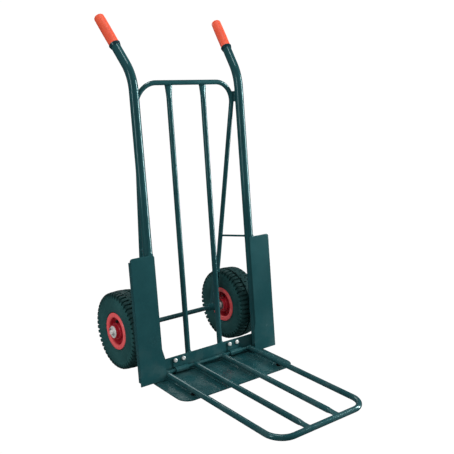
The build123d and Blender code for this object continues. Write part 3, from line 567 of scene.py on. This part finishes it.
def model_tyre(name):
    """A block-tread tyre about the X axis: rings first, then grooves sunk into its own faces."""
    low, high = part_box("left_tyre")
    radius = (high.z - low.z) / 2
    half = (high.x - low.x) / 2
    rim_low, rim_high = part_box("left_rim_outer_half")
    bead_r = (rim_high.z - rim_low.z) / 2 + 0.8 * MM
    half_outline = [
        (half * 0.83, bead_r),
        (half * 0.89, bead_r + 1.5 * MM),
        (half * 0.93, bead_r + 4 * MM),
        (half * 0.90, bead_r + 6 * MM),
        (half * 0.945, bead_r + 9 * MM),
        (half * 0.985, bead_r + 17 * MM),
        (half * 1.000, bead_r + 27 * MM),
        (half * 0.993, bead_r + 36 * MM),
        (half * 0.978, bead_r + 42 * MM),
        (half * 0.960, radius - 20 * MM),
        (half * 0.950, radius - 12 * MM),
        (half * 0.905, radius - 5.6 * MM),
        (half * 0.80, radius - 2.6 * MM),
        (half * 0.58, radius - 1.3 * MM),
        (half * 0.35, radius - 1.0 * MM),
        (half * 0.20, radius - 0.3 * MM),
        (half * 0.08, radius),
    ]
    inside = [
        (half * 0.62, bead_r + 2 * MM),
        (half * 0.80, bead_r + 30 * MM),
        (half * 0.60, radius - 15 * MM),
    ]
    across = [(-x, r) for x, r in reversed(half_outline)]
    inner_back = [(-x, r) for x, r in inside]
    outline = half_outline + across + inner_back + list(reversed(inside))
    tyre = turned(name, outline, LUG_COUNT * LUG_STEPS, True)

    step_angle = 2 * math.pi / (LUG_COUNT * LUG_STEPS)

    def in_groove(face):
        r, x, angle = ring_of(face)
        if r < radius - 19 * MM or face.normal.dot(Vector((0, face.center.y, face.center.z))) < 0:
            return False
        index = int(angle / step_angle)
        shifted = index + (LUG_STEPS // 2 if x > 0 else 0)
        share = abs(x) / half
        if share > 0.46:
            return shifted % LUG_STEPS in (0, 1)
        if share > 0.275:
            return True
        if share > 0.14:
            return index % (2 * LUG_STEPS) == 1
        return index % (2 * LUG_STEPS) == 6

    pick(tyre, "FACE", in_groove)
    bpy.ops.mesh.extrude_region_shrink_fatten(TRANSFORM_OT_shrink_fatten={"value": -GROOVE_DEPTH})
    bpy.ops.object.mode_set(mode="OBJECT")

    def in_mark(face):
        r, x, angle = ring_of(face)
        index = int(angle / step_angle)
        in_band = bead_r + 36 * MM < r < bead_r + 42 * MM
        outside = abs(face.normal.x) > 0.7 and abs(x) > half * 0.9
        return in_band and outside and index % 8 in (1, 2, 3)

    pick(tyre, "FACE", in_mark)
    bpy.ops.mesh.extrude_region_shrink_fatten(TRANSFORM_OT_shrink_fatten={"value": -MARK_DEPTH})
    bpy.ops.object.mode_set(mode="OBJECT")
    close_up(tyre)
    bevelled(tyre, 0.7 * MM, 1, 35)
    return tyre


# ---------------------------------------------------------------- rims
RIM_STEPS = 128
RIM_RIBS = 8
RIB_HEIGHT = 13 * MM


def model_rim(name):
    """The outer half of the rim about the X axis: rolled flange, dish, eight ribs and a hub ring."""
    low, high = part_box("left_rim_outer_half")
    flange_r = (high.z - low.z) / 2
    lip_x = high.x - low.x
    web_x = 14 * MM
    hub_r = 22.2 * MM
    outline = [
        (0, hub_r),
        (lip_x - 4 * MM, hub_r),
        (lip_x - 3.2 * MM, hub_r + 0.8 * MM),
        (lip_x - 3.2 * MM, hub_r + 3.6 * MM),
        (lip_x - 4 * MM, hub_r + 4.6 * MM),
        (web_x + 3 * MM, hub_r + 6 * MM),
        (web_x, hub_r + 8.5 * MM),
        (web_x, 41.0 * MM),
        (web_x + 2 * MM, 42.6 * MM),
        (lip_x - 9 * MM, 44.4 * MM),
        (lip_x - 4 * MM, 45.4 * MM),
        (lip_x - 1.2 * MM, 47.2 * MM),
        (lip_x, 50.5 * MM),
        (lip_x - 0.2 * MM, 57.5 * MM),
        (lip_x - 1.4 * MM, flange_r - 1.2 * MM),
        (lip_x - 3.0 * MM, flange_r),
        (lip_x - 4.4 * MM, flange_r - 0.4 * MM),
        (lip_x - 4.4 * MM, 51.0 * MM),
        (lip_x - 8.0 * MM, 50.0 * MM),
        (0, 50.0 * MM),
        (0, 46.0 * MM),
        (9 * MM, 44.0 * MM),
        (9 * MM, 27.0 * MM),
        (0, 26.5 * MM),
    ]
    rim = turned(name, outline, RIM_STEPS, True)
    step_angle = 2 * math.pi / RIM_STEPS

    def in_rib(face):
        r, x, angle = ring_of(face)
        index = int(angle / step_angle)
        on_web = abs(x - web_x) < 0.5 * MM and face.normal.x > 0.9 and r > 30 * MM
        return on_web and (index + 8) % (RIM_STEPS // RIM_RIBS) in (0, 1)

    pick(rim, "FACE", in_rib)
    bpy.ops.mesh.extrude_region_move(TRANSFORM_OT_translate={"value": (RIB_HEIGHT, 0, 0)})
    bpy.ops.object.mode_set(mode="OBJECT")
    close_up(rim)
    bevelled(rim, 0.8 * MM, 2, 32)
    return rim


def add_wheels():
    """Both wheels: the tyre and rim are modelled once and copied."""
    tyre = model_tyre("left_wheel_tyre")
    rim = model_rim("left_wheel_rim_outer")
    half_turn = Matrix.Rotation(math.pi, 4, "Z")
    for side, name in SIDES:
        body = name + "_wheel"
        middle = Matrix.Translation(wheel_middle(name))
        own_tyre = tyre if side < 0 else copied(tyre, "right_wheel_tyre")
        own_outer = rim if side < 0 else copied(rim, "right_wheel_rim_outer")
        own_inner = copied(rim, body + "_rim_inner")
        facing = half_turn if side < 0 else Matrix.Identity(4)
        yield own_tyre, body, "tyre_rubber", name + "_tyre", middle @ facing
        yield own_outer, body, "rim_red", name + "_rim_outer_half", middle @ facing
        yield own_inner, body, "rim_red", name + "_rim_inner_half", middle @ facing @ half_turn


# ---------------------------------------------------------------- grips
GRIP_STEPS = 64
GRIP_RADIUS = 17 * MM


def long_axis(node):
    """Both end middles of a straight round node, the lower one first."""
    points = np.array([v.co for v in nodes[node].data.vertices])
    middle = (points.max(0) + points.min(0)) / 2
    along = np.linalg.svd(points - points.mean(0), full_matrices=False)[2][0]
    along *= math.copysign(1, along[2])
    reach = (points - middle) @ along
    ends = []
    for limit in (reach.min(), reach.max()):
        ring = points[np.abs(reach - limit) < 0.3 * MM]
        ends.append(Vector((ring.max(0) + ring.min(0)) / 2))
    return ends


def model_grip(length, radius):
    """A dipped grip along X from its mouth: rolled lip, barely swollen sleeve, ring and domed end."""
    outline = [
        (0.0, radius - 2.2 * MM),
        (-0.2 * MM, radius - 0.4 * MM),
        (0.8 * MM, radius),
        (2.4 * MM, radius),
        (3.4 * MM, radius - 0.5 * MM),
    ]
    for step in range(1, 10):
        share = step / 10
        swelling = 0.35 * MM * math.sin(math.pi * share)
        outline.append((length * share * 0.9 + 3 * MM, radius - 0.5 * MM + swelling))
    outline += [
        (length - 9 * MM, radius - 0.6 * MM),
        (length - 8 * MM, radius - 1.0 * MM),
        (length - 7 * MM, radius - 0.6 * MM),
    ]
    outline += arc((length - 6 * MM, radius - 6.2 * MM), 5.6 * MM, 90, 12, 5)
    outline += [
        (length - 0.1 * MM, radius * 0.45),
        (length, 3.2 * MM),
        (length - 0.9 * MM, 2.6 * MM),
        (length - 1.4 * MM, 0.4 * MM),
    ]
    grip = turned("grip", outline, GRIP_STEPS, False)
    for wanted in (0.4 * MM, radius - 2.2 * MM):
        pick(grip, "EDGE", lambda edge: at_rim(grip, edge, wanted))
        bpy.ops.mesh.edge_face_add()
        bpy.ops.object.mode_set(mode="OBJECT")
    close_up(grip)
    smooth(grip, 50)
    return grip


def at_rim(obj, edge, radius):
    """Whether both ends of an edge lie at that radius from the X axis."""
    ends = [obj.data.vertices[index].co for index in edge.vertices]
    return all(abs(math.hypot(co.y, co.z) - radius) < 0.01 * MM for co in ends)


def add_grips():
    """One grip for each handle, laid along the handle from the collar to the tip."""
    made = None
    for side, name in SIDES:
        mouth, tip = long_axis(name + "_grip")
        along = (tip - mouth).normalized()
        if made is None:
            made = model_grip((tip - mouth).length, GRIP_RADIUS)
            grip = made
            spare = copied(made, "spare_grip")
        else:
            grip = spare
        grip.name = name + "_handle_grip"
        turn = Vector((1, 0, 0)).rotation_difference(along).to_matrix().to_4x4()
        settle(grip, "frame", "grip_rubber", (name + "_grip",), Matrix.Translation(mouth) @ turn)


# ---------------------------------------------------------------- welds
BEAD_STEP = 2.4 * MM
BEAD_RIPPLE = (0.86, 1.08, 0.95, 1.14)
UPRIGHT_LEAN = math.radians(7.2)
UPRIGHT_RADIUS = 15 * MM


def contact_ring(first, second, side=0, reach=0.2 * MM, bins=40):
    """Points round the outline where the first node stands on the second; side 0 takes both sides."""
    target = nodes[second].data
    corners = [vertex.co for vertex in target.vertices]
    tree = BVHTree.FromPolygons(corners, [list(face.vertices) for face in target.polygons])
    touching = []
    for vertex in nodes[first].data.vertices:
        found = tree.find_nearest(vertex.co)
        if found[3] is not None and found[3] < reach and side * vertex.co.x >= 0:
            touching.append(vertex.co[:])
    touching = np.array(touching)
    middle = (touching.max(0) + touching.min(0)) / 2
    axes = np.linalg.svd(touching - touching.mean(0), full_matrices=False)[2]
    away = touching - middle
    angle = np.arctan2(away @ axes[1], away @ axes[0])
    ring = []
    for step in range(bins):
        wanted = -math.pi + 2 * math.pi * (step + 0.5) / bins
        off_by = np.abs((angle - wanted + math.pi) % (2 * math.pi) - math.pi)
        close = np.flatnonzero(off_by < math.pi / bins)
        if len(close):
            outermost = np.argmax(np.linalg.norm(away[close], axis=1))
            ring.append(Vector(touching[close[outermost]]))
    return ring


def evenly(points, step, closed):
    """The same line with points a step apart."""
    line = points + points[:1] if closed else points
    lengths = [(b - a).length for a, b in zip(line, line[1:])]
    count = max(3, round(sum(lengths) / step))
    out = []
    for index in range(count if closed else count + 1):
        left = sum(lengths) * index / count
        for (a, b), length in zip(zip(line, line[1:]), lengths):
            if left <= length or (a, b) == (line[-2], line[-1]):
                out.append(a.lerp(b, min(1.0, left / max(length, 1e-9))))
                break
            left -= length
    return out


def model_bead(points, radius, closed):
    """A weld bead: a rippled round along a line."""
    deselect_all()
    line = evenly(points, BEAD_STEP, closed)
    curve = bpy.data.curves.new("bead", "CURVE")
    curve.dimensions = "3D"
    curve.bevel_depth = radius
    curve.bevel_resolution = 2
    curve.use_fill_caps = True
    spline = curve.splines.new("POLY")
    spline.points.add(len(line) - 1)
    for index, point in enumerate(line):
        spline.points[index].co = (*point, 1)
        spline.points[index].radius = BEAD_RIPPLE[index % len(BEAD_RIPPLE)]
    spline.use_cyclic_u = closed
    bead = bpy.data.objects.new("bead", curve)
    bpy.context.scene.collection.objects.link(bead)
    bead.select_set(True)
    bpy.context.view_layer.objects.active = bead
    bpy.ops.object.convert(target="MESH")
    return bpy.context.object


def joined(name, parts):
    """All the parts as one smooth piece."""
    deselect_all()
    for part in parts:
        part.select_set(True)
    bpy.context.view_layer.objects.active = parts[0]
    bpy.ops.object.join()
    parts[0].name = name
    close_up(parts[0])
    smooth(parts[0], 60)
    return parts[0]


def add_welds():
    """Beads where the tubes and plates are welded, one piece for the frame and one for the extension."""
    beads = []
    for side, name in SIDES:
        # the two nodes, the bead's radius and how far apart they may stand, in millimetres
        for first, second, radius, reach in (
            (name + "_load_bar", "back_frame_tube", 2.4, 0.2),
            (name + "_weld_lug", name + "_upright_tube", 2.0, 0.2),
            (name + "_weld_lug", "back_frame_tube", 2.0, 0.2),
            (name + "_stay_rod", name + "_upright_tube", 1.6, 0.2),
            (name + "_stay_rod", "back_frame_tube", 1.6, 0.2),
            (name + "_upright_tube", "toe_plate", 2.6, 0.2),
            (name + "_axle_collar", name + "_axle_bracket", 2.2, 2.6),
        ):
            ring = contact_ring(first, second, side, reach * MM)
            beads.append(model_bead(ring, radius * MM, True))
        beads += plate_stitches(name)
        beads.append(flange_bead(name))
    settle(joined("frame_welds", beads), "frame", "frame_paint")
    beads = []
    for side, name in SIDES:
        for first, second in (
            (name + "_extension_bar", "extension_loop_tube"),
            (name + "_extension_bar", "extension_pivot_rod"),
            ("extension_loop_tube", "extension_pivot_rod"),
        ):
            beads.append(model_bead(contact_ring(first, second, side), 2.0 * MM, True))
    settle(joined("extension_welds", beads), "extension", "frame_paint")


def plate_stitches(name):
    """Short beads down both sides of an upright, along its side plate, and one across the plate's top."""
    inner = contact_line(name + "_upright_tube", name + "_side_plate")
    beads = []
    for offset in (-1, 1):
        for start in (0.02, 0.3, 0.58, 0.86):
            a = inner[0].lerp(inner[1], start)
            b = inner[0].lerp(inner[1], min(1.0, start + 0.12))
            shift = Vector((offset * 5.5 * MM, 0.9 * MM, 0))
            beads.append(model_bead([a + shift, b + shift], 2.0 * MM, False))
    top = inner[1] if inner[1].z > inner[0].z else inner[0]
    across = []
    for x in (-9, -4.5, 0, 4.5, 9):
        across.append(top + Vector((x * MM, 1.2 * MM + abs(x) * 0.12 * MM, 1.5 * MM)))
    beads.append(model_bead(across, 2.4 * MM, False))
    return beads


def flange_bead(name):
    """A bead where a load bar crosses the top edge of the toe plate's flange."""
    foot, top = long_axis(name + "_load_bar")
    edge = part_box("toe_plate")[1]
    points = []
    for x in (-8, -6, -3, 0, 3, 6, 8):
        points.append(Vector((foot.x + x * MM, edge.y + 0.04 * MM * x * x, edge.z + 0.2 * MM)))
    return model_bead(points, 2.0 * MM, False)


def contact_line(tube, plate):
    """The straight line of an upright's front where a side plate lies on it, from bottom to top."""
    low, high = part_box(plate)
    points = np.array([v.co for v in nodes[tube].data.vertices])
    end = points[points[:, 2] < points[:, 2].min() + 0.1 * MM]
    foot = Vector((end.max(0) + end.min(0)) / 2)
    along = Vector((0, math.sin(UPRIGHT_LEAN), math.cos(UPRIGHT_LEAN)))
    front = foot + Vector((0, -along.z, along.y)) * UPRIGHT_RADIUS
    reach = (high.z - low.z) / along.z
    start = front + along * ((low.z - front.z) / along.z)
    return [start + along * 4 * MM, start + along * (reach - 1 * MM)]


finishes = paint_nodes()
add_surroundings()
add_camera()
for piece, body, slot, replaced, place in list(add_wheels()):
    settle(piece, body, slot, (replaced,), place)
add_grips()
add_welds()
